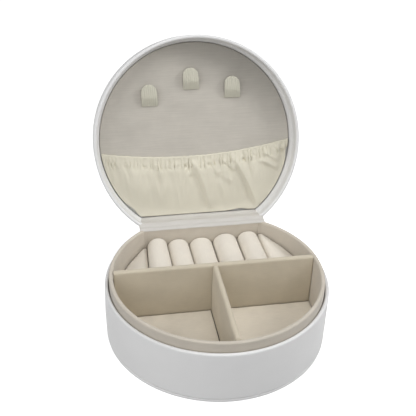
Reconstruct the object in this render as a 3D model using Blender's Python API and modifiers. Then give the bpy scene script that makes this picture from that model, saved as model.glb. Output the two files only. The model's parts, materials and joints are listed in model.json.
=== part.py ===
"""A round leatherette jewelry case with a flat back, standing open.

The base is a shell with a raised velvet collar, a T of padded dividers and a
row of ring rolls. The lid leans back on a leather hinge and holds a suede
panel with three necklace tabs and a gathered pouch.

Frame: origin at the centre of the round outline, on the bottom face, +Z up,
the flat hinge side at +Y. The lid is modelled shut, then turned open about
its hinge axis.
"""

import math

import bmesh
import bpy
from mathutils import Matrix, Vector

MM = 0.001

# Outline of the case, seen from above
CASE_RADIUS = 60.0 * MM
BACK_Y = 48.2 * MM
CORNER_FILLET = 8.0 * MM
ARC_STEP = math.radians(8)

# Clearances
SEAM_GAP = 0.3 * MM
COLLAR_CLEARANCE = 0.7 * MM
LINING_GAP = 0.5 * MM

# Base
BOTTOM_COVER = 1.3 * MM
SHELL_WALL = 2.0 * MM
SHELL_TOP = 31.0 * MM
BOTTOM_BOARD = 1.6 * MM
FLOOR_BOARD = 1.5 * MM
FLOOR_PANEL = 1.0 * MM
COLLAR_WALL = 2.0 * MM
COLLAR_RISE = 5.1 * MM

# Dividers
DIVIDER_FRONT_Y = 4.0 * MM
DIVIDER_THICKNESS = 3.5 * MM
CENTRE_THICKNESS = 3.1 * MM
DIVIDER_RISE = 0.6 * MM

# Ring rolls
ROLL_COUNT = 5
ROLL_WIDTH = 13.3 * MM
ROLL_GAP = 0.5 * MM
ROLL_DROP = 5.8 * MM
SIDE_ROLL_DROP = 1.0 * MM

# Lid, measured from its rim
LID_WALL = 2.0 * MM
LID_BOARD = 2.7 * MM
LID_TOP_COVER = 1.3 * MM
LINER_WALL = 1.2 * MM
LINING_DEPTH = 10.5 * MM
LINING_PANEL = 1.5 * MM
LID_FOAM = 1.6 * MM
REST_ANGLE = math.radians(110)
HINGE_LIFT = 4.0 * MM

# Leather of the hinge
LEATHER = 0.6 * MM
HINGE_LEAF = 7.0 * MM
FOLD_GAP = 0.5 * MM
STRIP_THICKNESS = 0.5 * MM

# Pouch, heights measured along the lid from the flat back
POUCH_TOP = 36.0 * MM
POUCH_THICKNESS = 1.6 * MM
POUCH_STANDOFF = 2.2 * MM
HEM_TOP = 43.0 * MM
HEM_THICKNESS = 2.0 * MM
HEM_STANDOFF = 0.6 * MM

# Necklace tabs
# Where each tab's sewn root is: across the lid, and up from its flat back.
TAB_PLACES = (
    ("left", -26.2 * MM, 69.7 * MM),
    ("middle", -1.7 * MM, 78.2 * MM),
    ("right", 22.4 * MM, 72.5 * MM),
)
TAB_WIDTH = 9.3 * MM
TAB_LENGTH = 11.8 * MM
TAB_CORNER = 3.4 * MM
TAB_THICKNESS = 1.0 * MM
TAB_AXIS_STANDOFF = 2.4 * MM
TAB_ROOT_DEPTH = 1.2 * MM
TAB_LEAN = math.radians(6)

# Heights and insets that follow
WALL_BOTTOM = BOTTOM_COVER + SEAM_GAP
BOARD_TOP = WALL_BOTTOM + BOTTOM_BOARD
FLOOR_BOTTOM = BOARD_TOP + SEAM_GAP
FLOOR_BOARD_TOP = FLOOR_BOTTOM + FLOOR_BOARD
PANEL_BOTTOM = FLOOR_BOARD_TOP + SEAM_GAP
FLOOR_TOP = PANEL_BOTTOM + FLOOR_PANEL
COLLAR_TOP = SHELL_TOP + COLLAR_RISE
DIVIDER_TOP = COLLAR_TOP + DIVIDER_RISE
COLLAR_INSET = max(SHELL_WALL, LID_WALL) + COLLAR_CLEARANCE
INSIDE_INSET = COLLAR_INSET + COLLAR_WALL
ROLL_BOTTOM = FLOOR_TOP + SEAM_GAP
ROLL_TOP = COLLAR_TOP - ROLL_DROP
LID_BOTTOM = SHELL_TOP + SEAM_GAP
LINING_Z = LID_BOTTOM + LINING_DEPTH
PANEL_TOP = LINING_Z + LINING_PANEL
FOAM_TOP = PANEL_TOP + SEAM_GAP + LID_FOAM
LID_WALL_TOP = FOAM_TOP + SEAM_GAP + LID_BOARD
COVER_BOTTOM = LID_WALL_TOP + SEAM_GAP
LID_TOP = COVER_BOTTOM + LID_TOP_COVER
LINER_BOTTOM = COLLAR_TOP + STRIP_THICKNESS + 3 * SEAM_GAP
LINER_INSET = LID_WALL + SEAM_GAP
LINING_INSET = LINER_INSET + LINER_WALL + LINING_GAP
PIVOT = Vector((
    0.0,
    BACK_Y + HINGE_LIFT / 2 / math.tan(REST_ANGLE / 2),
    LID_BOTTOM + HINGE_LIFT / 2,
))


def arc(centre, radius, start, end):
    """Points along an arc, its last point left out."""
    steps = max(2, math.ceil(abs(end - start) / ARC_STEP))
    points = []
    for step in range(steps):
        angle = start + (end - start) * step / steps
        points.append((centre[0] + radius * math.cos(angle), centre[1] + radius * math.sin(angle)))
    return points


def case_outline(inset=0.0):
    """The round outline with its flat back, anticlockwise, moved in by inset."""
    radius = CASE_RADIUS - inset
    back = BACK_Y - inset
    fillet = CORNER_FILLET - inset
    centre_y = back - fillet
    centre_x = math.sqrt((radius - fillet) ** 2 - centre_y ** 2)
    join = math.atan2(centre_y, centre_x)
    around = arc((0.0, 0.0), radius, math.pi - join, 2 * math.pi + join)
    right = arc((centre_x, centre_y), fillet, join, math.pi / 2)
    left = arc((-centre_x, centre_y), fillet, math.pi / 2, math.pi - join)
    # The arcs leave out their last points, so the flat's own two ends are added.
    flat = [(centre_x, back), (-centre_x, back)]
    return around + right + flat + left[1:]


def clip(outline, direction, limit):
    """The part of a convex outline whose distance along direction is at most limit."""
    kept = []
    for here, after in zip(outline, outline[1:] + outline[:1]):
        depth = here[0] * direction[0] + here[1] * direction[1] - limit
        depth_after = after[0] * direction[0] + after[1] * direction[1] - limit
        if depth <= 0:
            kept.append(here)
        if depth * depth_after < 0:
            share = depth / (depth - depth_after)
            kept.append(tuple(a + (b - a) * share for a, b in zip(here, after)))
    return kept


def material(name, colour, roughness):
    found = bpy.data.materials.new(name)
    found.use_nodes = True
    shader = found.node_tree.nodes["Principled BSDF"]
    shader.inputs["Base Color"].default_value = (*colour, 1.0)
    shader.inputs["Roughness"].default_value = roughness
    shader.inputs["Metallic"].default_value = 0.0
    found.diffuse_color = (*colour, 1.0)
    return found


def add(name, mesh, collection, finish):
    piece = bpy.data.objects.new(name, mesh)
    mesh.materials.clear()
    mesh.materials.append(finish)
    collection.objects.link(piece)
    return piece


def extruded(outline, height, filled):
    """A mesh of the outline, from z 0 up to the height: a plate, or only its side walls."""
    curve = bpy.data.curves.new("outline", "CURVE")
    curve.dimensions = "2D"
    curve.fill_mode = "BOTH" if filled else "NONE"
    curve.extrude = height / 2
    spline = curve.splines.new("POLY")
    spline.points.add(len(outline) - 1)
    for point, (x, y) in zip(spline.points, outline):
        point.co = (x, y, 0.0, 1.0)
    spline.use_cyclic_u = True
    guide = bpy.data.objects.new("outline", curve)
    bpy.context.scene.collection.objects.link(guide)
    graph = bpy.context.evaluated_depsgraph_get()
    mesh = bpy.data.meshes.new_from_object(guide.evaluated_get(graph))
    bpy.data.objects.remove(guide)
    bpy.data.curves.remove(curve)
    shape = bmesh.new()
    shape.from_mesh(mesh)
    bmesh.ops.remove_doubles(shape, verts=shape.verts, dist=0.01 * MM)
    bmesh.ops.translate(shape, verts=shape.verts, vec=(0.0, 0.0, height / 2))
    if filled:
        flat = [edge for edge in shape.edges if edge.is_manifold and edge.calc_face_angle() < 0.01]
        bmesh.ops.dissolve_edges(shape, edges=flat, use_verts=False)
        bmesh.ops.recalc_face_normals(shape, faces=shape.faces)
    shape.to_mesh(mesh)
    shape.free()
    return mesh


def bevel(piece, width, segments):
    rounding = piece.modifiers.new("Rounding", "BEVEL")
    rounding.width = width
    rounding.segments = segments
    rounding.limit_method = "ANGLE"
    rounding.angle_limit = math.radians(40)
    piece.data.shade_smooth()
    piece.data.set_sharp_from_angle(angle=math.radians(35))


def plate(name, outline, bottom, top, collection, finish, rounding=0.0, segments=2):
    """A flat piece of the outline's shape between two heights."""
    piece = add(name, extruded(outline, top - bottom, True), collection, finish)
    piece.location.z = bottom
    if rounding:
        bevel(piece, rounding, segments)
    return piece


def wall(name, inset, thickness, bottom, top, collection, finish, rounding, segments=2):
    """A wall that follows the case's outline, its outer face at the inset."""
    piece = add(name, extruded(case_outline(inset), top - bottom, False), collection, finish)
    piece.location.z = bottom
    solid = piece.modifiers.new("Thickness", "SOLIDIFY")
    solid.thickness = thickness
    solid.offset = -1.0
    solid.use_even_offset = True
    bevel(piece, rounding, segments)
    return piece


def on_lid(piece, pivot):
    """Hangs a piece, modelled on the shut lid, from an empty on a joint's axis."""
    piece.parent = pivot
    piece.matrix_parent_inverse = Matrix.Translation(-PIVOT)


def inside_region(*limits):
    """The room inside the collar, cut by (direction, limit) pairs."""
    outline = case_outline(INSIDE_INSET + SEAM_GAP)
    for direction, limit in limits:
        outline = clip(outline, direction, limit)
    return outline


def build_base(case, finishes):
    leather = finishes["leather"]
    plate("bottom_cover", case_outline(), 0.0, BOTTOM_COVER, case, leather, 0.4 * MM)
    wall("base_shell", 0.0, SHELL_WALL, WALL_BOTTOM, SHELL_TOP, case, leather, 0.7 * MM, 3)
    within = case_outline(SHELL_WALL + SEAM_GAP)
    plate("bottom_board", within, WALL_BOTTOM, BOARD_TOP, case, finishes["board"])
    collar = finishes["velvet"]
    wall("collar", COLLAR_INSET, COLLAR_WALL, FLOOR_BOTTOM, COLLAR_TOP, case, collar, 0.6 * MM)
    plate("floor_board", inside_region(), FLOOR_BOTTOM, FLOOR_BOARD_TOP, case, finishes["board"])


def build_dividers(case, finishes):
    """The T of padded dividers, and the velvet-covered floor panels between them."""
    back_y = DIVIDER_FRONT_Y + DIVIDER_THICKNESS
    front_limit = DIVIDER_FRONT_Y - SEAM_GAP
    velvet = finishes["velvet"]
    across = inside_region(((0, -1), -DIVIDER_FRONT_Y), ((0, 1), back_y))
    plate("divider_across", across, PANEL_BOTTOM, DIVIDER_TOP, case, velvet, 1.0 * MM, 3)
    half = CENTRE_THICKNESS / 2
    centre = inside_region(((1, 0), half), ((-1, 0), half), ((0, 1), front_limit))
    plate("divider_centre", centre, PANEL_BOTTOM, DIVIDER_TOP, case, velvet, 1.0 * MM, 3)
    for side, sign in (("left", 1), ("right", -1)):
        panel = inside_region(((sign, 0), -half - SEAM_GAP), ((0, 1), front_limit))
        plate("floor_panel_" + side, panel, PANEL_BOTTOM, FLOOR_TOP, case, velvet)
    panel = inside_region(((0, -1), -back_y - SEAM_GAP))
    plate("ring_roll_panel", panel, PANEL_BOTTOM, FLOOR_TOP, case, velvet)


def roll_profile():
    """A roll seen from the front: straight sides under a half-round top."""
    radius = ROLL_WIDTH / 2
    straight = ROLL_TOP - ROLL_BOTTOM - radius
    top = arc((0.0, straight), radius, 0.0, math.pi)
    return [(-radius, 0.0), (radius, 0.0)] + top + [(-radius, straight)]


def build_rolls(case, finishes):
    """Five rolls running from front to back, and one at each side cut by the round wall."""
    finish = finishes["roll"]
    front = DIVIDER_FRONT_Y + DIVIDER_THICKNESS + SEAM_GAP
    pitch = ROLL_WIDTH + ROLL_GAP
    for number in range(ROLL_COUNT):
        centre_x = (number - (ROLL_COUNT - 1) / 2) * pitch
        # A roll ends where its outer side meets the collar.
        beyond = inside_region(((-1, 0), -abs(centre_x) - ROLL_WIDTH / 2))
        back = max(y for x, y in beyond)
        roll = add(f"ring_roll_{number + 1}", extruded(roll_profile(), back - front, True), case, finish)
        roll.rotation_euler.x = math.pi / 2
        roll.location = (centre_x, back, ROLL_BOTTOM)
        bevel(roll, 1.6 * MM, 2)
    side_x = ROLL_COUNT * pitch / 2
    for side, sign in (("left", 1), ("right", -1)):
        outline = inside_region(((0, -1), -front), ((sign, 0), -side_x))
        top = ROLL_TOP - SIDE_ROLL_DROP
        plate("ring_roll_" + side, outline, ROLL_BOTTOM, top, case, finish, 1.5 * MM)


def lid_region(inset, *limits):
    """The shut lid's outline, moved in and cut by heights along the lid from its flat back."""
    outline = case_outline(inset)
    for direction, height in limits:
        outline = clip(outline, (0, -direction), direction * (height - BACK_Y))
    return outline


def build_lid(case, pivot, finishes):
    leather = finishes["leather"]
    inside = case_outline(LINER_INSET)
    pieces = [
        wall("lid_shell", 0.0, LID_WALL, LID_BOTTOM, LID_WALL_TOP, case, leather, 0.7 * MM, 3),
        plate("lid_cover", case_outline(), COVER_BOTTOM, LID_TOP, case, leather, 0.5 * MM),
        plate("lid_board", inside, FOAM_TOP + SEAM_GAP, LID_WALL_TOP, case, finishes["board"]),
        plate("lid_foam", inside, PANEL_TOP + SEAM_GAP, FOAM_TOP, case, finishes["foam"]),
        wall("lid_liner", LINER_INSET, LINER_WALL, LINER_BOTTOM, PANEL_TOP, case, leather, 0.3 * MM),
        plate("lining_panel", case_outline(LINING_INSET), LINING_Z, PANEL_TOP, case,
              finishes["suede"], 0.4 * MM),
    ]
    pouch_top = LINING_Z - POUCH_STANDOFF
    pouch = lid_region(LINING_INSET, (1, POUCH_TOP))
    pieces.append(plate("pouch", pouch, pouch_top - POUCH_THICKNESS, pouch_top, case,
                        finishes["pouch"], 0.5 * MM))
    hem_top = LINING_Z - HEM_STANDOFF
    hem = lid_region(LINING_INSET, (1, HEM_TOP), (-1, POUCH_TOP + SEAM_GAP))
    pieces.append(plate("pouch_hem", hem, hem_top - HEM_THICKNESS, hem_top, case,
                        finishes["pouch"], 0.5 * MM))
    for piece in pieces:
        on_lid(piece, pivot)


def tab_outline():
    """A strap from its root at y 0 towards -y, its far corners rounded."""
    half = TAB_WIDTH / 2
    middle = -TAB_LENGTH + TAB_CORNER
    left = arc((-half + TAB_CORNER, middle), TAB_CORNER, math.pi, 1.5 * math.pi)
    right = arc((half - TAB_CORNER, middle), TAB_CORNER, 1.5 * math.pi, 2 * math.pi)
    return [(-half, 0.0)] + left + right + [(half, middle), (half, 0.0)]


def build_tabs(case, lid_pivot, finishes):
    """Three necklace straps, each free to fold down about its sewn root."""
    finish = finishes["tab"]
    for name, across, height in TAB_PLACES:
        axis = Vector((across, BACK_Y - height, LINING_Z - TAB_AXIS_STANDOFF))
        root_bottom = axis.z + TAB_THICKNESS / 2 + SEAM_GAP
        root = add(f"tab_root_{name}", bpy.data.meshes.new("root"), case, finish)
        shape = bmesh.new()
        bmesh.ops.create_cube(shape, size=1.0)
        size = (TAB_WIDTH, TAB_ROOT_DEPTH, LINING_Z - SEAM_GAP - root_bottom)
        bmesh.ops.scale(shape, verts=shape.verts, vec=size)
        shape.to_mesh(root.data)
        shape.free()
        root.location = (axis.x, axis.y, (root_bottom + LINING_Z - SEAM_GAP) / 2)
        on_lid(root, lid_pivot)
        pivot = bpy.data.objects.new(f"tab_pivot_{name}", None)
        case.objects.link(pivot)
        pivot.parent = lid_pivot
        pivot.location = axis - PIVOT
        pivot.rotation_euler.x = TAB_LEAN
        strap = add(f"tab_{name}", extruded(tab_outline(), TAB_THICKNESS, True), case, finish)
        strap.location.z = -TAB_THICKNESS / 2
        strap.parent = pivot
        bevel(strap, 0.3 * MM, 1)


def build_hinge(case, pivot, finishes):
    """The leather that joins lid and base: two leaves on the back and a strip on the collar."""
    leather = finishes["leather"]
    half = math.sqrt((CASE_RADIUS - CORNER_FILLET) ** 2 - (BACK_Y - CORNER_FILLET) ** 2)
    front = BACK_Y + SEAM_GAP
    leaf = [(-half, front), (half, front), (half, front + LEATHER), (-half, front + LEATHER)]
    fold = PIVOT.z + FOLD_GAP / 2
    low, high = fold - FOLD_GAP / 2, fold + FOLD_GAP / 2
    plate("hinge_leaf_base", leaf, low - HINGE_LEAF, low, case, leather, 0.2 * MM, 1)
    lid_leaf = plate("hinge_leaf_lid", leaf, high, high + HINGE_LEAF, case, leather, 0.2 * MM, 1)
    on_lid(lid_leaf, pivot)
    strip_back = BACK_Y - COLLAR_INSET
    strip = clip(case_outline(COLLAR_INSET), (0, -1), -strip_back + COLLAR_WALL)
    bottom = COLLAR_TOP + SEAM_GAP
    plate("hinge_strip", strip, bottom, bottom + STRIP_THICKNESS, case, leather, 0.15 * MM, 1)


def main():
    for old in list(bpy.data.objects):
        bpy.data.objects.remove(old)
    case = bpy.data.collections.new("jewelry_box")
    bpy.context.scene.collection.children.link(case)
    finishes = {
        "leather": material("white_leather", (0.80, 0.80, 0.80), 0.45),
        "velvet": material("beige_velvet", (0.50, 0.45, 0.38), 0.95),
        "roll": material("cream_velvet", (0.74, 0.70, 0.62), 0.95),
        "suede": material("grey_suede", (0.50, 0.47, 0.42), 0.9),
        "pouch": material("cream_satin", (0.62, 0.58, 0.46), 0.7),
        "tab": material("cream_ribbon", (0.60, 0.57, 0.45), 0.8),
        "board": material("grey_board", (0.30, 0.28, 0.25), 0.95),
        "foam": material("white_foam", (0.75, 0.75, 0.72), 0.95),
    }
    pivot = bpy.data.objects.new("lid_pivot", None)
    pivot.location = PIVOT
    pivot.rotation_euler.x = -REST_ANGLE
    case.objects.link(pivot)
    build_base(case, finishes)
    build_dividers(case, finishes)
    build_rolls(case, finishes)
    build_lid(case, pivot, finishes)
    build_tabs(case, pivot, finishes)
    build_hinge(case, pivot, finishes)


main()
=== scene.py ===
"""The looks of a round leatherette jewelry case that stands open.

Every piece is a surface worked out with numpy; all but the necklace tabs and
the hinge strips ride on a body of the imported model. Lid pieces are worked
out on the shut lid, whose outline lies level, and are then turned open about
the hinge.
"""

import json
import logging
import math
from dataclasses import dataclass
from enum import Enum

import bmesh
import bpy
import numpy as np
from mathutils import Matrix, Vector


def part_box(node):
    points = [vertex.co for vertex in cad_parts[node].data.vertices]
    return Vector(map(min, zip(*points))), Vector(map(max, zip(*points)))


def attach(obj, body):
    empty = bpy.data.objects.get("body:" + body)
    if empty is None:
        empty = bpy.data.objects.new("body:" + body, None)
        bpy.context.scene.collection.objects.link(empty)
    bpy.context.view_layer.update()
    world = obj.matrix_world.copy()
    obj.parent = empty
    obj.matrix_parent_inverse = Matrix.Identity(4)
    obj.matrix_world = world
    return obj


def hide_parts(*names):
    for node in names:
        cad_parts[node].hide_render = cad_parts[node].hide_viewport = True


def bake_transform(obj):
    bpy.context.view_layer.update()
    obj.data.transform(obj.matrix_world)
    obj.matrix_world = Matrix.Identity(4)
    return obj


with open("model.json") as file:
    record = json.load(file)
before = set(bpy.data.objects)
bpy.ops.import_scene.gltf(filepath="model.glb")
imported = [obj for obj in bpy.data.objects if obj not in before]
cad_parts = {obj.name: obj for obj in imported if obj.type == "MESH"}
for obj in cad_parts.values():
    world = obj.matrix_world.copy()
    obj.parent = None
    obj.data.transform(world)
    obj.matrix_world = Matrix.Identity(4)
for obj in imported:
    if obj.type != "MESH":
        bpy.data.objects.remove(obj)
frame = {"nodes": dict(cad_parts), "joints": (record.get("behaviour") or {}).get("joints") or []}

log = logging.getLogger("jewelry_case")
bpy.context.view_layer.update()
Triple = tuple[float, float, float]
Socket = bpy.types.NodeSocket
Value = Socket | float | tuple[float, ...]


class Body(Enum):
    """The bodies that pieces ride on."""

    BASE = "base"
    LID = "lid"


class Finish(Enum):
    """The finishes, each with the record's slot that it belongs to and its number there."""

    LEATHER = ("white_leather", 1)
    HINGE = ("white_leather", 2)
    VELVET = ("beige_velvet", 1)
    # A browner copy of the beige velvet: painted shade on the dividers.
    DIVIDER_PAINTED_SHADE = ("beige_velvet", 2)
    # A lighter copy of the beige velvet: painted light on the floor panels.
    FLOOR_PAINTED_LIGHT = ("beige_velvet", 3)
    ROLL = ("cream_velvet", 1)
    SUEDE = ("grey_suede", 1)
    SATIN = ("cream_satin", 1)
    RIBBON = ("cream_ribbon", 1)
    BOARD = ("grey_board", 1)
    FOAM = ("white_foam", 1)

    @property
    def slot(self) -> str:
        """The record's slot."""
        return self.value[0]


# ---------------------------------------------------------------- finishes


class Recipe:
    """A material being put together from shader nodes."""

    def __init__(self, name: str) -> None:
        """Starts a material of that name."""
        self.material = bpy.data.materials.new(name)
        self.material.use_nodes = True
        self.tree = self.material.node_tree
        self.shader = self.tree.nodes["Principled BSDF"]

    def feed(self, socket: Socket, value: Value) -> None:
        """Links an output to the socket, or sets a plain value on it."""
        if isinstance(value, Socket):
            self.tree.links.new(value, socket)
        else:
            socket.default_value = value

    def node(self, kind: str, output: str | int, inputs: dict[str | int, Value],
             **settings: str) -> Socket:
        """Adds a node.

        Args:
            kind: The node's type, without the ShaderNode in front.
            output: Which of its outputs to hand back.
            inputs: What to feed each input.
            settings: Its own settings, set before the inputs.

        Returns:
            The output's socket.
        """
        made = self.tree.nodes.new("ShaderNode" + kind)
        for name, value in settings.items():
            setattr(made, name, value)
        for name, value in inputs.items():
            self.feed(made.inputs[name], value)
        return made.outputs[output]

    def coordinates(self, source: str, *scale: float) -> Socket:
        """Object or UV coordinates, in cells per metre: one scale for all three axes, or one each."""
        scales = scale * 3 if len(scale) == 1 else scale
        place = self.node("TexCoord", source, {})
        return self.node("Mapping", "Vector", {"Vector": place, "Scale": scales})

    def slope(self, source: str, heading: Triple) -> Socket:
        """How far a point lies along a heading, in the units of its coordinates."""
        inputs = {0: self.coordinates(source, 1.0), 1: heading}
        return self.node("VectorMath", "Value", inputs, operation="DOT_PRODUCT")

    def noise(self, vector: Socket, detail: float = 2.0, roughness: float = 0.5,
              warp: float = 0.0) -> Socket:
        """Noise of one cell a unit, with finer layers, their strength and how far it bends itself."""
        inputs = {"Vector": vector, "Scale": 1.0, "Detail": detail, "Roughness": roughness,
                  "Distortion": warp}
        return self.node("TexNoise", "Fac", inputs)

    def remap(self, value: Socket, low: float, high: float, to_low: float = 0.0,
              to_high: float = 1.0) -> Socket:
        """A value moved from one range to another, and held inside it."""
        inputs = {"Value": value, "From Min": low, "From Max": high, "To Min": to_low, "To Max": to_high}
        return self.node("MapRange", "Result", inputs)

    def sum(self, first: Socket, second: Socket, share: float) -> Socket:
        """The first value plus a share of the second."""
        return self.node("Math", 0, {0: second, 1: share, 2: first}, operation="MULTIPLY_ADD")

    def blend(self, factor: Socket, first: Value, second: Value) -> Socket:
        """Two colours mixed by a factor."""
        return self.node("Mix", 2, {"Factor": factor, 6: first, 7: second}, data_type="RGBA")

    def bump(self, height: Socket, depth: float, strength: float,
             under: Socket | None = None) -> Socket:
        """A normal bumped by a height from 0 to 1 that stands for a depth in metres, over another bump."""
        inputs = {"Strength": strength, "Distance": depth, "Height": height}
        if under is not None:
            inputs["Normal"] = under
        return self.node("Bump", "Normal", inputs)

    def finish(self, colour: Value, roughness: Value, normal: Socket,
               **shader: Value) -> bpy.types.Material:
        """Feeds the shader and hands the material over. Other sockets are named with underscores."""
        fed = {"Base_Color": colour, "Roughness": roughness, "Normal": normal, **shader}
        for name, value in fed.items():
            self.feed(self.shader.inputs[name.replace("_", " ")], value)
        return self.material


def tint(colour: Triple, share: float) -> tuple[float, float, float, float]:
    """The colour made lighter or darker by a share, with full alpha."""
    return (*(min(1.0, part * share) for part in colour), 1.0)


@dataclass(frozen=True)
class Leather:
    """Smooth coated leatherette: pebbled cells, soft creases and an uneven low gloss."""

    name: str = "white_leather_finish"
    colour: Triple = (0.79, 0.79, 0.79)
    roughness: float = 0.50
    grain: float = 0.00075
    depth: float = 0.00003

    def build(self) -> bpy.types.Material:
        """Puts the leatherette's material together."""
        recipe = Recipe(self.name)
        cells = {"Vector": recipe.coordinates("Object", 1 / self.grain), "Scale": 1.0}
        borders = recipe.node("TexVoronoi", "Distance", cells, feature="DISTANCE_TO_EDGE")
        creases = recipe.noise(recipe.coordinates("Object", 500.0), 4.0, 0.6, 0.6)
        clouds = recipe.noise(recipe.coordinates("Object", 60.0), 3.0)
        height = recipe.sum(recipe.remap(borders, 0.0, 0.35), creases, 0.8)
        colour = recipe.blend(clouds, tint(self.colour, 0.965), tint(self.colour, 1.03))
        dull = recipe.remap(creases, 0.3, 0.7, self.roughness - 0.06, self.roughness + 0.08)
        normal = recipe.bump(height, self.depth, 0.5)
        return recipe.finish(colour, dull, normal, Specular_IOR_Level=0.35)


@dataclass(frozen=True)
class Nap:
    """Short brushed pile: fine fibres, streaks along the brushing and patches where it lies another way.

    Streak and patch are cells per metre. The painted rim shade is how much darker the colour is painted
    towards the top and right of the open panel, where the lid's rim shades it: it grows from nothing
    to that share between the two distances of its line, measured along its heading.
    """

    name: str
    colour: Triple
    streak: tuple[float, float] = (160.0, 2600.0)
    patch: float = 90.0
    patchy: float = 1.3
    contrast: float = 0.06
    sheen: float = 0.25
    depth: float = 0.00010
    painted_rim_shade: float = 0.0
    painted_rim_shade_heading: Triple = (0.55, -0.84, 0.0)
    painted_rim_shade_line: tuple[float, float] = (0.029, 0.056)

    def build(self) -> bpy.types.Material:
        """Puts the pile's material together."""
        recipe = Recipe(self.name)
        streaks = recipe.noise(recipe.coordinates("UV", *self.streak, 1.0), 3.0, 0.6)
        fibres = recipe.noise(recipe.coordinates("Object", 5200.0), 2.0, 0.7)
        patches = recipe.noise(recipe.coordinates("Object", self.patch), 3.0, 0.55, 0.3)
        middle = 0.5 + 0.5 * self.patchy
        shade = recipe.remap(recipe.sum(streaks, patches, self.patchy), middle * 0.65, middle * 1.35)
        dark, light = (tint(self.colour, 1.0 + side * self.contrast) for side in (-1, 1))
        colour = recipe.blend(shade, dark, light)
        # Painted shade: the colour darkens towards the panel's top and right, standing in for the shadow of
        # the lid's rim.
        if self.painted_rim_shade:
            turned = recipe.remap(recipe.slope("UV", self.painted_rim_shade_heading), *self.painted_rim_shade_line, 0.0, self.painted_rim_shade)
            colour = recipe.blend(turned, colour, tint(self.colour, 0.05))
        normal = recipe.bump(fibres, self.depth * 1.2, 0.55, recipe.bump(streaks, self.depth, 0.35))
        return recipe.finish(colour, recipe.remap(fibres, 0.3, 0.7, 0.82, 0.98), normal,
                             Sheen_Weight=self.sheen, Sheen_Roughness=0.55, Specular_IOR_Level=0.15)


@dataclass(frozen=True)
class Weave:
    """Plain woven cloth: warp and weft threads, with slubs and faint uneven dyeing."""

    name: str
    colour: Triple
    thread: float = 0.00028
    depth: float = 0.00004
    roughness: float = 0.72
    sheen: float = 0.2

    def build(self) -> bpy.types.Material:
        """Puts the cloth's material together."""
        recipe = Recipe(self.name)
        pitch = 1 / self.thread
        threads = recipe.coordinates("UV", pitch, pitch, 1.0)
        waves = {"Vector": threads, "Scale": 2 / math.tau, "Distortion": 0.4}
        warp, weft = (recipe.node("TexWave", "Fac", waves, bands_direction=way) for way in ("X", "Y"))
        slubs = recipe.noise(recipe.coordinates("UV", 300.0, 3000.0, 1.0), 3.0, 0.6)
        dye = recipe.noise(recipe.coordinates("Object", 70.0), 3.0)
        cloth = recipe.sum(recipe.sum(warp, weft, 1.0), slubs, 0.8)
        shade = recipe.remap(recipe.sum(dye, slubs, 0.5), 0.45, 1.05)
        colour = recipe.blend(shade, tint(self.colour, 0.96), tint(self.colour, 1.03))
        dull = recipe.remap(slubs, 0.3, 0.7, self.roughness - 0.05, 0.85)
        return recipe.finish(colour, dull, recipe.bump(cloth, self.depth, 0.5),
                             Sheen_Weight=self.sheen, Specular_IOR_Level=0.25)


@dataclass(frozen=True)
class Board:
    """Pressed grey board or foam sheet, mottled all through."""

    name: str
    colour: Triple
    speck: float = 0.0008

    def build(self) -> bpy.types.Material:
        """Puts the board's material together."""
        recipe = Recipe(self.name)
        specks = recipe.noise(recipe.coordinates("Object", 1 / self.speck), 4.0, 0.6)
        colour = recipe.blend(specks, tint(self.colour, 0.85), tint(self.colour, 1.15))
        return recipe.finish(colour, 0.95, recipe.bump(specks, 0.0001, 0.4))


# ---------------------------------------------------------------- surfaces


def surface(name: str, grid: np.ndarray, uv: np.ndarray, closed: bool = True) -> bpy.types.Object:
    """Makes a mesh of a grid of points, whose repeated ends and poles are welded.

    Args:
        name: The piece's name.
        grid: Points, of shape (rows, columns, 3). A closed direction repeats its first point.
        uv: Cloth coordinates in metres, of shape (rows, columns, 2).
        closed: True where the surface closes on itself, so that its faces can be turned outwards.

    Returns:
        The new object, at the origin.
    """
    rows, columns = grid.shape[:2]
    first = (np.arange(rows - 1)[:, None] * columns + np.arange(columns - 1)).ravel()
    corners = np.stack([first, first + columns, first + columns + 1, first + 1], axis=1)
    mesh = bpy.data.meshes.new(name)
    mesh.from_pydata(grid.reshape(-1, 3), [], corners)
    layer = mesh.uv_layers.new(name="Cloth")
    layer.data.foreach_set("uv", uv.reshape(-1, 2)[corners.ravel()].astype(np.float32).ravel())
    work = bmesh.new()
    work.from_mesh(mesh)
    bmesh.ops.remove_doubles(work, verts=work.verts, dist=2e-6)
    if closed:
        bmesh.ops.recalc_face_normals(work, faces=work.faces)
    work.to_mesh(mesh)
    work.free()
    mesh.shade_smooth()
    piece = bpy.data.objects.new(name, mesh)
    bpy.context.scene.collection.objects.link(piece)
    return piece


def walk(points: np.ndarray) -> np.ndarray:
    """The distance walked along a path to each of its points."""
    steps = np.linalg.norm(np.diff(points, axis=0), axis=1)
    return np.concatenate([[0.0], np.cumsum(steps)])


def corners_of(node: str) -> tuple[np.ndarray, np.ndarray]:
    """A node's lowest and highest corners."""
    low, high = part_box(node)
    return np.array(low, float), np.array(high, float)


def thicken(piece: bpy.types.Object, thickness: float) -> None:
    """Gives an open surface its thickness, half to each side."""
    solid = piece.modifiers.new("Thickness", "SOLIDIFY")
    solid.thickness = thickness
    solid.offset = 0.0


def capped(grid: np.ndarray) -> np.ndarray:
    """Closes both ends of a tube with a pole in the middle of each."""
    start, end = (np.broadcast_to(grid[row].mean(axis=0), (1, *grid.shape[1:])) for row in (0, -1))
    return np.concatenate([start, grid, end])


def smooth(value: np.ndarray) -> np.ndarray:
    """The smooth step 3t^2 - 2t^3, with t held between 0 and 1."""
    held = np.clip(value, 0.0, 1.0)
    return held * held * (3.0 - 2.0 * held)


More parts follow.
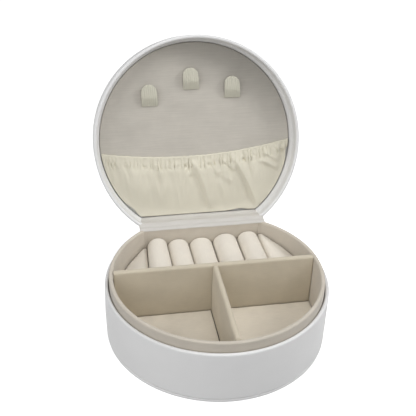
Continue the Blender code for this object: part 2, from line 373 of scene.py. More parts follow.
def ripple(x: np.ndarray, y: np.ndarray, pitch: float, seed: int, waves: int = 9) -> np.ndarray:
    """A gentle uneven field from -1 to 1: a mean of plane waves with seeded headings and phases.

    Args:
        x: First coordinate, in metres.
        y: Second coordinate, in metres.
        pitch: The usual distance between crests, in metres.
        seed: Which field to give.
        waves: How many waves are added.

    Returns:
        The field's value at each point.
    """
    random = np.random.default_rng(seed)
    heading = random.uniform(0.0, math.tau, waves)
    phase = random.uniform(0.0, math.tau, waves)
    rate = math.tau / (pitch * random.uniform(0.6, 1.8, waves))
    angle = (x[..., None] * np.cos(heading) + y[..., None] * np.sin(heading)) * rate + phase
    return np.sin(angle).sum(axis=-1) / math.sqrt(waves)


def rounded_wall(inset: float, thickness: float, bottom: float, top: float, edge: float,
                 foot: float = 0.0002) -> np.ndarray:
    """A wall's closed section: up its outer face, over a rounded top, down its inner face and back.

    Args:
        inset: How far the outer face lies inside the outline.
        thickness: The wall's thickness.
        bottom: The lowest height.
        top: The highest height.
        edge: The radius of the top edges.
        foot: The radius of the outer bottom edge.

    Returns:
        Points (inset, height), the first one repeated at the end.
    """
    turn = np.linspace(0.0, math.pi / 2, 9)
    rise = np.linspace(bottom + foot, top - edge, 26)
    outer = np.column_stack([np.full(rise.size, inset), rise])
    over = np.column_stack([inset + edge - edge * np.cos(turn), top - edge + edge * np.sin(turn)])
    far = inset + thickness - edge
    back = np.column_stack([far + edge * np.sin(turn), top - edge + edge * np.cos(turn)])
    inner = np.column_stack([np.full(rise.size, inset + thickness), rise[::-1]])
    under = np.column_stack([inset + foot - foot * np.sin(turn), bottom + foot - foot * np.cos(turn)])
    base = np.array([[inset + thickness, bottom]])
    return np.concatenate([outer, over[1:], back[1:], inner[1:], base, under])


def slab_section(bottom: float, top: float, edge: float, under: float) -> np.ndarray:
    """A flat piece's half section, from the middle of its underside round its rim to the middle of its top.

    Args:
        bottom: The underside's height.
        top: The top's height.
        edge: The radius of the top edge.
        under: The radius of the bottom edge.

    Returns:
        Points (inset, height, share), where share is 0 at the middle and 1 at the rim.
    """
    turn = np.linspace(0.0, math.pi / 2, 8)
    inward = np.linspace(0.0, 1.0, 24)
    low = np.column_stack([np.full(24, under), np.full(24, bottom), inward])
    curl = under * np.cos(turn)
    lower = np.column_stack([under - under * np.sin(turn), bottom + under - curl, np.ones(8)])
    upper = np.column_stack([edge - edge * np.cos(turn), top - edge + edge * np.sin(turn), np.ones(8)])
    high = np.column_stack([np.full(24, edge), np.full(24, top), inward[::-1]])
    return np.concatenate([low, lower[1:], upper, high[1:]])


@dataclass
class Outline:
    """A closed outline seen from above: its points, their outward normals and a point inside."""

    points: np.ndarray
    normals: np.ndarray
    centre: np.ndarray

    @classmethod
    def case(cls, radius: float, back: float, fillet: float, count: int = 560) -> "Outline":
        """The round case with its flat back.

        The outward normal's heading grows with the distance walked: quickly on the two
        fillets, slowly on the big arc and not at all on the flat. The point is the arc's
        centre plus its radius along the normal.

        Args:
            radius: The big arc's radius.
            back: The flat's distance from the centre.
            fillet: The radius of the two corners.
            count: How many steps go round.

        Returns:
            The outline, which starts in the middle of the flat.
        """
        centre_y = back - fillet
        centre_x = math.sqrt((radius - fillet) ** 2 - centre_y**2)
        join = math.atan2(centre_y, centre_x)
        spans = [centre_x, fillet * (math.pi / 2 - join), radius * (math.pi + 2 * join)]
        stops = np.cumsum([0.0, *spans, spans[1], spans[0]])
        headings = [math.pi / 2] * 2 + [math.pi - join, math.tau + join] + [2.5 * math.pi] * 2
        walked = np.linspace(0.0, stops[-1], count + 1)
        heading = np.interp(walked, stops, headings)
        normals = np.column_stack([np.cos(heading), np.sin(heading)])
        left = walked <= stops[2]
        right = walked >= stops[3]
        middle = np.column_stack([
            np.where(left, -np.minimum(walked, centre_x), 0.0)
            + np.where(right, np.minimum(stops[-1] - walked, centre_x), 0.0),
            np.where(left | right, centre_y, 0.0),
        ])
        reach = np.where(left | right, fillet, radius)
        return cls(middle + normals * reach[:, None], normals, np.zeros(2))

    @classmethod
    def room(cls, radius: float, sides: list[Triple], centre: tuple[float, float],
             count: int = 480) -> "Outline":
        """The part of a circle cut off by straight sides, found by rays from a point inside.

        A ray's length is the least of its distances to the circle and to each side.

        Args:
            radius: The circle's radius about the origin.
            sides: (x, y, limit) triples: the point's product with (x, y) stays under limit.
            centre: The point inside.
            count: How many rays there are.

        Returns:
            The outline.
        """
        heading = np.linspace(0.0, math.tau, count + 1)
        rays = np.column_stack([np.cos(heading), np.sin(heading)])
        inside = np.array(centre)
        along = rays @ inside
        reach = -along + np.sqrt(along**2 - inside @ inside + radius**2)
        for x, y, limit in sides:
            facing = rays @ np.array([x, y])
            distance = (limit - inside @ np.array([x, y])) / np.where(facing > 1e-9, facing, 1e-9)
            reach = np.minimum(reach, np.where(facing > 1e-9, distance, np.inf))
        points = inside + rays * reach[:, None]
        step = np.roll(points[:-1], -1, axis=0) - np.roll(points[:-1], 1, axis=0)
        normals = np.column_stack([step[:, 1], -step[:, 0]])
        normals /= np.linalg.norm(normals, axis=1)[:, None]
        return cls(points, np.vstack([normals, normals[:1]]), inside)

    def sweep(self, section: np.ndarray) -> tuple[np.ndarray, np.ndarray]:
        """Carries a section round the outline.

        A point is the outline's point moved in by the inset, then drawn towards the
        centre by its share, at the section's height.

        Args:
            section: Points (inset, height), or (inset, height, share).

        Returns:
            The grid of points and its cloth coordinates.
        """
        inset, height = section[:, 0], section[:, 1]
        share = section[:, 2] if section.shape[1] == 3 else np.ones(len(section))
        flat = self.points[:, None] - self.normals[:, None] * inset[None, :, None]
        flat = self.centre + (flat - self.centre) * share[None, :, None]
        grid = np.dstack([flat, np.broadcast_to(height, flat.shape[:2])])
        around, climb = walk(self.points)[:, None], walk(section[:, :2])[None, :]
        return grid, np.dstack(np.broadcast_arrays(around, climb))


# ---------------------------------------------------------------- the case


def joint(name: str) -> dict:
    """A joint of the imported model, by its name."""
    return next(found for found in frame["joints"] if found["name"] == name)


@dataclass
class CaseSizes:
    """The sizes that the sub-assemblies share, in metres."""

    radius: float = 0.0600
    back: float = 0.0482
    fillet: float = 0.0080
    shell_wall: float = 0.0020
    collar_inset: float = 0.0027
    collar_wall: float = 0.0020
    gap: float = 0.0003
    lining_depth: float = 0.0105
    step: float = 0.0015
    step_start: float = 0.0052
    step_length: float = 0.0050

    def __post_init__(self) -> None:
        """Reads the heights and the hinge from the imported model."""
        self.shell_bottom = float(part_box("base_shell")[0][2])
        self.shell_top = float(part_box("base_shell")[1][2])
        self.collar_top = float(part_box("collar")[1][2])
        self.floor_top = float(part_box("floor_panel_left")[1][2])
        hinge = joint("lid_hinge")
        self.pivot = np.array(hinge["pos_m"], float)
        self.opening = math.radians(hinge["range_deg"][1])
        self.rim = self.shell_top + self.gap
        self.inside = self.collar_inset + self.collar_wall
        self.reach = self.radius - self.inside - self.gap
        self.lining_face = self.rim + self.lining_depth

    def outline(self, count: int = 560) -> Outline:
        """The case's own outline."""
        return Outline.case(self.radius, self.back, self.fillet, count)

    def lid_inside(self, depth: np.ndarray) -> np.ndarray:
        """How far the lid's inner face is inset at a depth from its rim: a smooth step past the collar."""
        return self.shell_wall + self.step * smooth((depth - self.step_start) / self.step_length)

    def opened(self, shut: np.ndarray, share: np.ndarray | float = 1.0) -> np.ndarray:
        """Turns points of the shut lid open about the hinge, by a share of the full turn.

        y' = y cos + z sin and z' = z cos - y sin, both counted from the hinge.
        """
        angle = self.opening * np.asarray(share)
        away = shut - self.pivot
        y, z = away[..., 1], away[..., 2]
        turned = np.stack([away[..., 0], y * np.cos(angle) + z * np.sin(angle),
                           z * np.cos(angle) - y * np.sin(angle)], axis=-1)
        return turned + self.pivot


class Assembly:
    """A group of pieces that share sizes and finishes."""

    def __init__(self, sizes: CaseSizes, finishes: dict[Finish, bpy.types.Material]) -> None:
        """Keeps the shared sizes and finishes."""
        self.sizes = sizes
        self.finishes = finishes

    def dress(self, piece: bpy.types.Object, finish: Finish, body: Body | None,
              *nodes: str) -> bpy.types.Object:
        """Gives a piece its finish, its body and the nodes that it stands for.

        Args:
            piece: The piece.
            finish: Its finish.
            body: The body that it rides on, or None, where it is left unattached.
            nodes: The model's nodes that it replaces.

        Returns:
            The same piece.
        """
        piece.data.materials.clear()
        piece.data.materials.append(self.finishes[finish])
        if body is not None:
            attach(piece, body.value)
        if nodes:
            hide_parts(*nodes)
        log.info("%s: %d faces", piece.name, len(piece.data.polygons))
        return piece

    def lid_surface(self, name: str, grid: np.ndarray, uv: np.ndarray,
                    closed: bool = True) -> bpy.types.Object:
        """A surface worked out on the shut lid and turned open."""
        return surface(name, self.sizes.opened(grid), uv, closed)


@dataclass
class ShellSizes:
    """The sizes of the base shell, its bottom and the collar, in metres."""

    rim_radius: float = 0.00095
    seam: float = 0.0020
    seam_gap: float = 0.0003
    bottom_edge: float = 0.0004
    belly: float = 0.00015
    unevenness: float = 0.00006
    collar_swell: float = 0.00022
    collar_edge: float = 0.0009
    collar_unevenness: float = 0.00005
    crease_depth: float = 0.00034
    crease_fade: float = 0.05
    crease_width: float = 0.0005
    creases: tuple[float, float] = (0.0003, 0.0036)
    left_share: float = 0.3


class Base(Assembly):
    """The leatherette shell, its bottom and the velvet collar."""

    own = ShellSizes()

    def build(self) -> None:
        """Builds the base's pieces."""
        self.shell()
        self.bottom()
        self.collar()
        self.floor()

    def shell(self) -> None:
        """The side wall. Its outer face bellies out a little and is slightly uneven."""
        sizes, own = self.sizes, self.own
        section = rounded_wall(0.0, sizes.shell_wall, own.seam, sizes.shell_top, own.rim_radius,
                               own.bottom_edge)
        tall = (section[:, 1] - own.seam) / (sizes.shell_top - own.seam)
        outside = section[:, 0] < sizes.shell_wall / 2
        section[:, 0] -= np.where(outside, own.belly * np.sin(math.pi * tall), 0.0)
        grid, uv = sizes.outline(720).sweep(section)
        wave = ripple(grid[..., 0] + grid[..., 1] * 0.3, grid[..., 2] * 2.0, 0.03, 11) * own.unevenness
        reach = np.linalg.norm(grid[..., :2], axis=-1, keepdims=True)
        grid[..., :2] += grid[..., :2] / reach * (wave * outside)[..., None]
        self.dress(surface("shell_wall", grid, uv), Finish.LEATHER, Body.BASE, "base_shell")

    def bottom(self) -> None:
        """The bottom cover, a thin disc whose turned edge shows as a seam above the table."""
        own = self.own
        low = float(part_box("bottom_cover")[0][2])
        section = slab_section(low, own.seam - own.seam_gap, own.bottom_edge, own.bottom_edge)
        grid, uv = self.sizes.outline(480).sweep(section)
        uv[...] = grid[..., :2]
        self.dress(surface("bottom_disc", grid, uv), Finish.LEATHER, Body.BASE, "bottom_cover")

    def collar(self) -> None:
        """The velvet collar, softly padded, creased where the cloth turns its two back corners.

        A crease is exp(-d^2 / w^2), where d is the distance to it round the outline.
        """
        sizes, own = self.sizes, self.own
        low = float(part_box("collar")[0][2])
        section = rounded_wall(sizes.collar_inset - own.collar_swell, sizes.collar_wall + own.collar_swell,
                               low, sizes.collar_top, own.collar_edge)
        outline = sizes.outline(900)
        grid, uv = outline.sweep(section)
        inner = smooth((section[:, 0] - sizes.collar_inset) / sizes.collar_wall)
        fade = np.exp(-(((sizes.collar_top - section[:, 1]) / own.crease_fade) ** 2))
        deep = own.crease_depth * fade * inner
        walked = walk(outline.points)
        corner = math.sqrt((sizes.radius - sizes.fillet) ** 2 - (sizes.back - sizes.fillet) ** 2)
        crease = np.zeros(walked.size)
        for place in own.creases:
            for start, share in ((walked[-1] - walked, 1.0), (walked, own.left_share)):
                crease += share * np.exp(-(((start - (corner + place)) / own.crease_width) ** 2))
        push = crease[:, None] * deep
        push += own.collar_unevenness * ripple(uv[..., 0], uv[..., 1], 0.02, 5) * inner
        grid[..., :2] += outline.normals[:, None] * push[..., None]
        self.dress(surface("collar_velvet", grid, uv), Finish.VELVET, Body.BASE, "collar")

    def floor(self) -> None:
        """The velvet-covered floor panels between the dividers."""
        for node in ("floor_panel_left", "floor_panel_right", "ring_roll_panel"):
            low, high = corners_of(node)
            sides = [(1, 0, high[0]), (-1, 0, -low[0]), (0, 1, high[1]), (0, -1, -low[1])]
            outline = Outline.room(self.sizes.reach, sides, tuple((low[:2] + high[:2]) / 2))
            grid, uv = outline.sweep(slab_section(low[2], high[2], 0.0005, 0.0002))
            grid[..., 2] += 0.00004 * ripple(grid[..., 0], grid[..., 1], 0.012, 3)
            uv[...] = grid[..., :2]
            # The floor panels take the beige velvet painted lighter, as painted light from above.
            self.dress(surface(node + "_velvet", grid, uv), Finish.FLOOR_PAINTED_LIGHT, Body.BASE, node)


class Dividers(Assembly):
    """The T of padded dividers."""

    edge: float = 0.0012
    swell: float = 0.00010
    slack: float = 0.00012
    unevenness: float = 0.00006

    def build(self) -> None:
        """Builds the two dividers."""
        self.board("divider_across", 0)
        self.board("divider_centre", 1)

    def section(self, half: float, low: float, high: float) -> np.ndarray:
        """A padded board's closed section: sides that swell a little under a rounded top."""
        turn = np.linspace(0.0, math.pi / 2, 10)
        rise = np.linspace(low, high - self.edge, 30)
        swell = self.swell * np.sin(math.pi * (rise - low) / (high - low))
        side = np.column_stack([half + swell, rise])
        over = np.column_stack([half - self.edge + self.edge * np.cos(turn),
                                high - self.edge + self.edge * np.sin(turn)])
        right = np.concatenate([side, over[1:]])
        left = right[::-1] * np.array([-1.0, 1.0])
        return np.concatenate([right, left, right[:1]])

    def board(self, node: str, axis: int) -> None:
        """A board along X (axis 0) or Y (axis 1), whose ends follow the round collar.

        Along the board a point runs between its two ends, each worked out for its own
        distance across, so that the end faces lie on the collar's circle.
        """
        low, high = corners_of(node)
        across = 1 - axis
        middle = (low[across] + high[across]) / 2
        section = self.section((high[across] - low[across]) / 2 - self.slack, low[2], high[2])
        offset = middle + section[:, 0]
        reach = np.sqrt(self.sizes.reach**2 - offset**2)
        start = -reach
        finish = reach if axis == 0 else np.full(reach.size, high[1])
        share = np.linspace(0.0, 1.0, 160)[:, None]
        along = start + (finish - start) * share
        grid = np.zeros((160, section.shape[0], 3))
        grid[..., axis] = along
        grid[..., across] = offset
        grid[..., 2] = section[:, 1]
        wave = ripple(along, np.broadcast_to(section[:, 1], along.shape), 0.02, 21 + axis)
        grid[..., across] += self.unevenness * wave * np.sign(section[:, 0])
        length = np.concatenate([along[:1], along, along[-1:]])
        uv = np.dstack(np.broadcast_arrays(length, walk(section)))
        # The dividers take the beige velvet painted browner, as painted shade.
        self.dress(surface(node + "_velvet", capped(grid), uv), Finish.DIVIDER_PAINTED_SHADE, Body.BASE, node)


@dataclass
class RollSizes:
    """The ring rolls' sizes, in metres.

    The seams are where one roll meets the next, at the front and at the back. The lifts
    are how far each top stands over the model's. The drops are the radii of the side
    rolls' edges: beside the next roll, at the collar and at the front.
    """

    front_seams: tuple[float, ...] = (-0.0348, -0.0210, -0.0080, 0.0059, 0.0206, 0.0340)
    back_seams: tuple[float, ...] = (-0.0330, -0.0214, -0.0086, 0.0056, 0.0202, 0.0326)
    back: float = 0.0432
    lifts: tuple[float, ...] = (0.0010, -0.0008, -0.0011, 0.0005, 0.0012)
    left_lift: float = -0.0040
    right_lift: float = -0.0003
    fall: float = 0.26
    drops: Triple = (0.0030, 0.0022, 0.0010)
    crown: float = 0.0007
    least: float = 0.002
    gap: float = 0.00028
    nose: float = 0.0014
    softness: float = 0.00012


class RingRolls(Assembly):
    """Foam rolls in velvet, which grip rings between them."""

    own = RollSizes()

    def seam(self, number: int, share: np.ndarray | float) -> np.ndarray:
        """Where a seam runs, at a share of the way from the front to the back."""
        return self.own.front_seams[number] * (1.0 - share) + self.own.back_seams[number] * share

    def build(self) -> None:
        """Builds the five full rolls and the two side ones."""
        for number in range(5):
            self.roll(f"ring_roll_{number + 1}", number)
        self.side_roll("ring_roll_left", -1.0)
        self.side_roll("ring_roll_right", 1.0)

    def roll(self, node: str, number: int) -> None:
        """A full roll, from front to back.

        Across, the section is straight sides under a half ellipse, a little fuller than
        round. Towards each end it shrinks along a quarter circle, so that the ends are
        rounded over, and a pole closes each end.
        """
        own = self.own
        low, high = corners_of(node)
        half = (self.seam(number + 1, 0.5) - self.seam(number, 0.5) - own.gap) / 2
        top = high[2] + own.lifts[number]
        shoulder = top - half * 0.98
        angle = np.linspace(0.0, math.pi, 61)
        arch_x = half * np.sign(np.cos(angle)) * np.abs(np.cos(angle)) ** 0.94
        arch_z = shoulder + (top - shoulder) * np.sin(angle) ** 0.94
        side_z = np.linspace(low[2], shoulder, 12)[:-1]
        tuck = half * (1.0 - 0.02 * ((shoulder - side_z) / (shoulder - low[2])) ** 2)
        base = np.linspace(-tuck[0], tuck[0], 10)[1:]
        x = np.concatenate([tuck, arch_x, -tuck[::-1], base])
        z = np.concatenate([side_z, arch_z, side_z[::-1], np.full(9, low[2])])
        bend = np.linspace(0.0, math.pi / 2, 10)
        length = high[1] - low[1]
        ends = own.nose * (1.0 - np.cos(bend))
        y = np.concatenate([[0.0], ends, np.linspace(own.nose, length - own.nose, 60)[1:-1],
                            (length - ends)[::-1], [length]])
        size = 1.0 - own.nose / half * (1.0 - np.sin(bend))
        size = np.concatenate([[0.0], size, np.ones(58), size[::-1], [0.0]])
        grid = np.zeros((y.size, x.size, 3))
        hub = low[2] + (top - low[2]) * 0.45
        swell = 1.0 + 0.012 * np.sin(math.pi * y / length)[:, None]
        left, right = self.seam(number, y / length), self.seam(number + 1, y / length)
        wide = (right - left - own.gap) / (2 * half)
        grid[..., 0] = ((left + right) / 2)[:, None] + x * (size * wide)[:, None]
        grid[..., 1] = low[1] + y[:, None]
        grid[..., 2] = hub + (z - hub) * size[:, None] * swell
        soft = ripple(grid[..., 0] * 1.4 + number, grid[..., 1], 0.013, 30 + number)
        grid[..., 2] += own.softness * soft * smooth((grid[..., 2] - shoulder) / 0.003)
        grid[..., 2] = np.maximum(grid[..., 2], low[2])
        climb = walk(np.column_stack([x, z]))
        uv = np.dstack([np.broadcast_to(climb, grid.shape[:2]), grid[..., 1]])
        piece = self.dress(surface(node + "_velvet", grid, uv), Finish.ROLL, Body.BASE, node)

    def drop(self, distance: np.ndarray, radius: float) -> np.ndarray:
        """How far a rounded edge of a radius lies under its flat top, at a distance from the edge."""
        held = np.clip(distance, 0.0, radius)
        return radius - np.sqrt(np.maximum(radius**2 - (radius - held) ** 2, 0.0))

    def side_roll(self, node: str, sign: float) -> None:
        """A side roll: a domed wedge that narrows to nothing where the round collar cuts it off.

        Across, a share runs from the side beside the next roll to the collar's circle.
        The top falls away along a quarter circle at each of its edges.
        """
        own = self.own
        low, high = corners_of(node)
        number = 5 if sign > 0 else 0
        reach = self.sizes.reach
        last = math.sqrt(reach**2 - (abs(float(self.seam(number, 1.0))) + 0.0016) ** 2)
        y = low[1] + (last - low[1]) * (1.0 - np.linspace(1.0, 0.0, 70) ** 1.4)[:, None]
        near = np.abs(self.seam(number, (y - low[1]) / (own.back - low[1]))) + own.gap / 2
        width = np.sqrt(reach**2 - y**2) - near
        share = (1.0 - np.cos(np.linspace(0.0, math.pi, 61))) / 2
        away = share * width
        top = high[2] + (own.right_lift if sign > 0 else own.left_lift) - own.fall * away
        for distance, radius in zip((away, width - away, y - low[1]), own.drops):
            top = top - self.drop(distance, radius)
        top = top + own.crown * np.sin(math.pi * share)
        top = top + own.softness * ripple(near + away, y + 0.0 * away, 0.011, 44)
        top = np.maximum(top, low[2] + own.least)
        side = np.linspace(0.0, 1.0, 10)[None, 1:-1]
        zeros = np.zeros((y.size, 1))
        across = np.hstack([zeros, zeros + 0.0 * side, away, width + 0.0 * side, width, zeros])
        height = np.hstack([
            zeros + low[2], low[2] + (top[:, :1] - low[2]) * side, top,
            top[:, -1:] + (low[2] - top[:, -1:]) * side, zeros + low[2], zeros + low[2],
        ])
        grid = capped(np.dstack([sign * (near + across), y + 0.0 * across, height]))
        uv = np.dstack([grid[..., 0], grid[..., 1] + grid[..., 2]])
        piece = self.dress(surface(node + "_velvet", grid, uv), Finish.ROLL, Body.BASE, node)


@dataclass
class LidSizes:
    """The lid's own sizes, in metres, counted in from its rim."""

    wall: float = 0.0020
    liner_face: float = 0.0035
    lining_thickness: float = 0.0015
    lining_gap: float = 0.00025
    shell_depth: float = 0.0169
    cover_start: float = 0.0172
    cover_thickness: float = 0.0013
    cover_edges: tuple[float, float] = (0.0008, 0.0003)
    dome: float = 0.0006
    belly: float = 0.00012
    lining_edge: float = 0.0007
    lining_unevenness: float = 0.00006


def shortfall(x: np.ndarray, y: np.ndarray) -> np.ndarray:
    """How far the suede panel and the pouch on it stop short of the liner, in three places.

    Each place adds depth times exp(-d^2 / r^2), where d is the distance to its centre.
    """
    places = (
        (-0.0395, 0.0385, 0.0042, 0.0014),
        (0.0240, 0.0455, 0.0045, 0.0011),
        (0.0550, 0.0090, 0.0050, 0.0010),
    )
    total = 0.0 * (x + y)
    for across, back, radius, depth in places:
        total = total + depth * np.exp(-((x - across) ** 2 + (y - back) ** 2) / radius**2)
    return total


class Lid(Assembly):
    """The lid's shell, cover, liner and suede panel."""

    own = LidSizes()

    def build(self) -> None:
        """Builds the lid's pieces."""
        self.shell()
        self.cover()
        self.lining()

    def shell(self) -> None:
        """The side wall in one skin: up its outer face, over the rim and down inside to the suede panel.

        Inside, the face keeps to the wall as far as the collar reaches when the lid is
        shut, and then eases inwards along a smooth step to the panel's edge.
        """
        own = self.own
        turn = np.linspace(0.0, math.pi, 17)
        middle = own.wall / 2
        outer = np.linspace(own.shell_depth, middle, 26)
        inner = np.linspace(middle, self.sizes.lining_depth + own.lining_thickness, 46)[1:]
        section = np.concatenate([
            np.column_stack([-own.belly * np.sin(math.pi * outer / own.shell_depth), outer]),
            np.column_stack([middle - middle * np.cos(turn), middle - middle * np.sin(turn)])[1:],
            np.column_stack([self.sizes.lid_inside(inner), inner]),
            np.array([[own.wall, inner[-1]], [own.wall, own.shell_depth], [0.0, own.shell_depth]]),
        ])
        section[:, 1] += self.sizes.rim
        grid, uv = self.sizes.outline(720).sweep(section)
        piece = self.lid_surface("lid_wall", grid, uv)
        self.dress(piece, Finish.LEATHER, Body.LID, "lid_shell", "lid_liner")

    def cover(self) -> None:
        """The lid's top, softly domed by the padding under it."""
        own = self.own
        low = self.sizes.rim + own.cover_start
        section = slab_section(low, low + own.cover_thickness, *own.cover_edges)
        top = section[:, 1] > low + own.cover_thickness - 1e-6
        section[:, 1] += np.where(top, own.dome * (1.0 - section[:, 2] ** 4), 0.0)
        grid, uv = self.sizes.outline(480).sweep(section)
        uv[...] = grid[..., :2]
        self.dress(self.lid_surface("lid_top", grid, uv), Finish.LEATHER, Body.LID, "lid_cover")

    def lining(self) -> None:
        """The suede panel, its edge turned over, with a shallow unevenness."""
        own = self.own
        face = self.sizes.lining_face
        inset = own.liner_face + own.lining_gap
        turn = np.linspace(0.0, math.pi / 2, 8)
        edge = own.lining_edge
        inward = np.linspace(0.0, 1.0, 40)
        back = np.column_stack([np.zeros(40), np.full(40, face + own.lining_thickness), inward])
        side = np.column_stack([edge - edge * np.cos(turn), face + edge - edge * np.sin(turn), np.ones(8)])
        front = np.column_stack([np.full(40, edge), np.full(40, face), inward[::-1]])
        section = np.concatenate([back, side, front[1:]])
        section[:, 0] += inset
        outline = self.sizes.outline(480)
        grid, uv = outline.sweep(section)
        short = shortfall(grid[..., 0], grid[..., 1]) * section[:, 2]
        grid[..., :2] -= outline.normals[:, None] * short[..., None]
        grid[..., 2] += own.lining_unevenness * ripple(grid[..., 0], grid[..., 1] * 2.0, 0.02, 8)
        uv[...] = grid[..., :2]
        self.dress(self.lid_surface("lining_suede", grid, uv), Finish.SUEDE, Body.LID, "lining_panel")


@dataclass
class PouchSizes:
    """The pouch's sizes on the shut lid, heights counted along the lid from its flat back."""

    inset: float = 0.0041
    hem_height: float = 0.0382
    hem_sag: float = 1.8
    hem_lowest: float = -0.0070
    casing: float = 0.0056
    stand: float = 0.0026
    hem_stand: float = 0.0013
    gather_pitch: float = 0.0025
    cloth: float = 0.00035
    flat: tuple[float, float] = (0.135, 0.055)
    foot: float = 0.0002
    least_stand: float = 0.0006
    clearance: float = 0.00025
    hem_radius: float = 0.00055
    fullness: float = 1.12


class Pouch(Assembly):
    """The gathered pouch over the lower half of the suede panel."""

    own = PouchSizes()

    # Long folds: foot and head as (x, height), then width, how far they stand out, and bow.
    folds = (
        ((0.0078, 0.0045), (-0.0012, 0.0345), 0.0028, 0.00150, 0.0008),
        ((0.0368, 0.0040), (0.0224, 0.0360), 0.0023, 0.00180, 0.0008),
        ((0.0228, 0.0285), (0.0160, 0.0350), 0.0015, 0.00095, 0.0004),
        ((0.0111, 0.0270), (0.0102, 0.0340), 0.0012, 0.00075, 0.0000),
        ((0.0220, 0.0215), (0.0120, 0.0285), 0.0032, 0.00065, 0.0004),
        ((0.0190, 0.0060), (0.0120, 0.0240), 0.0040, 0.00045, 0.0008),
        ((0.0500, 0.0278), (0.0380, 0.0345), 0.0023, 0.00105, 0.0004),
        ((0.0500, 0.0326), (0.0405, 0.0385), 0.0017, 0.00080, 0.0003),
        ((0.0508, 0.0375), (0.0476, 0.0420), 0.0012, 0.00070, 0.0003),
        ((-0.0050, 0.0270), (-0.0040, 0.0345), 0.0015, 0.00085, 0.0003),
        ((-0.0110, 0.0050), (-0.0150, 0.0330), 0.0040, 0.00055, 0.0008),
        ((-0.0240, 0.0080), (-0.0250, 0.0330), 0.0038, 0.00040, 0.0008),
        ((-0.0380, 0.0100), (-0.0340, 0.0340), 0.0038, 0.00040, 0.0008),
    )

    def build(self) -> None:
        """Builds the pouch."""
        grid, uv = self.sheet()
        piece = self.lid_surface("pouch_cloth", grid, uv, closed=False)
        thicken(piece, self.own.cloth)
        self.dress(piece, Finish.SATIN, Body.LID, "pouch", "pouch_hem")

    def half_width(self, height: np.ndarray) -> np.ndarray:
        """Half the panel's width at a height above the flat back, with its filleted corners."""
        outline = self.sizes.outline(1600)
        edge = outline.points - outline.normals * self.own.inset
        right = edge[:, 0] >= 0
        up = self.sizes.back - edge[right, 1]
        order = np.argsort(up)
        keep = up[order] < 0.06
        return np.interp(height, up[order][keep], edge[right, 0][order][keep])

    def gathers(self, x: np.ndarray, below: np.ndarray) -> np.ndarray:
        """The puckers under the hem: ridges whose spacing, height and length vary along it.

        The phase grows with x at an uneven rate. A second, coarser set of ridges takes
        over as the distance below the hem grows, as neighbouring puckers run together.
        """
        own = self.own
        zero = np.zeros_like(x)
        uneven = 1.1 * ripple(x, zero, 0.012, 71) + 0.8 * ripple(x, zero, 0.006, 72)
        lean = 9.0 * below * (x / 0.05 + ripple(x, zero, 0.02, 73))
        wobble = 0.8 * ripple(x, below * 0.8, 0.0045, 80) * smooth(below / 0.0015)
        phase = math.tau * x / own.gather_pitch + 2.2 * uneven - 7.0 * lean + wobble
        fine = 1.9 * np.abs(np.sin(phase / 2)) ** 1.35 - 1.1 + 0.25 * ripple(x, below * 0.5, 0.0024, 77)
        coarse = ripple(x - 0.25 * below, below * 0.12, 0.0042, 78)
        strong = (0.5 + 0.5 * smooth((x + 0.045) / 0.030)) * (0.85 + 0.45 * ripple(x, zero, 0.010, 74))
        length = own.casing * np.clip(1.0 + 0.30 * ripple(x, zero, 0.005, 75), 0.5, 1.7)
        near = np.exp(-((below / length) ** 2.4)) * (0.85 + 0.40 * ripple(x, below, 0.0032, 81))
        further = smooth(below / own.casing) * np.exp(-((below / (2.4 * length)) ** 2))
        start = 0.30 * smooth(below / 0.0008) + 0.70 * smooth(below / 0.0050)
        stitch = np.exp(-(((below - own.casing) / 0.0013) ** 2)) * np.clip(0.1 - 0.9 * fine, 0.0, 1.0)
        return strong * (start * (0.00074 * near * fine + 0.00052 * further * coarse) - 0.00095 * stitch)

    def long_folds(self, x: np.ndarray, height: np.ndarray) -> np.ndarray:
        """Folds that rise steeply on their left and ease off on their right, fading at both ends.

        With the distance to the right s and the width w, a fold is smooth(1 + s / w)
        times exp(-s / 2.2 w), where s is held at 0 on the left in the second part. A
        shallow trough runs along the foot of the steep side.
        """
        total = np.zeros_like(x)
        for foot, head, width, depth, bend in self.folds:
            foot, head = np.array(foot), np.array(head)
            run = head - foot
            length = np.linalg.norm(run)
            run = run / length
            along = ((x - foot[0]) * run[0] + (height - foot[1]) * run[1]) / length
            bow = bend * np.sin(math.pi * np.clip(along, 0.0, 1.0))
            away = ((x - foot[0]) * run[1] - (height - foot[1]) * run[0] - bow) / width
            fade = smooth(along / 0.30 + 0.10) * smooth((1.12 - along) / 0.25)
            crest = smooth(1.0 + away) * np.exp(-np.maximum(away, 0.0) / 2.2)
            total += depth * fade * (crest - 0.25 * np.exp(-(((away + 1.3) / 0.7) ** 2)))
        return total

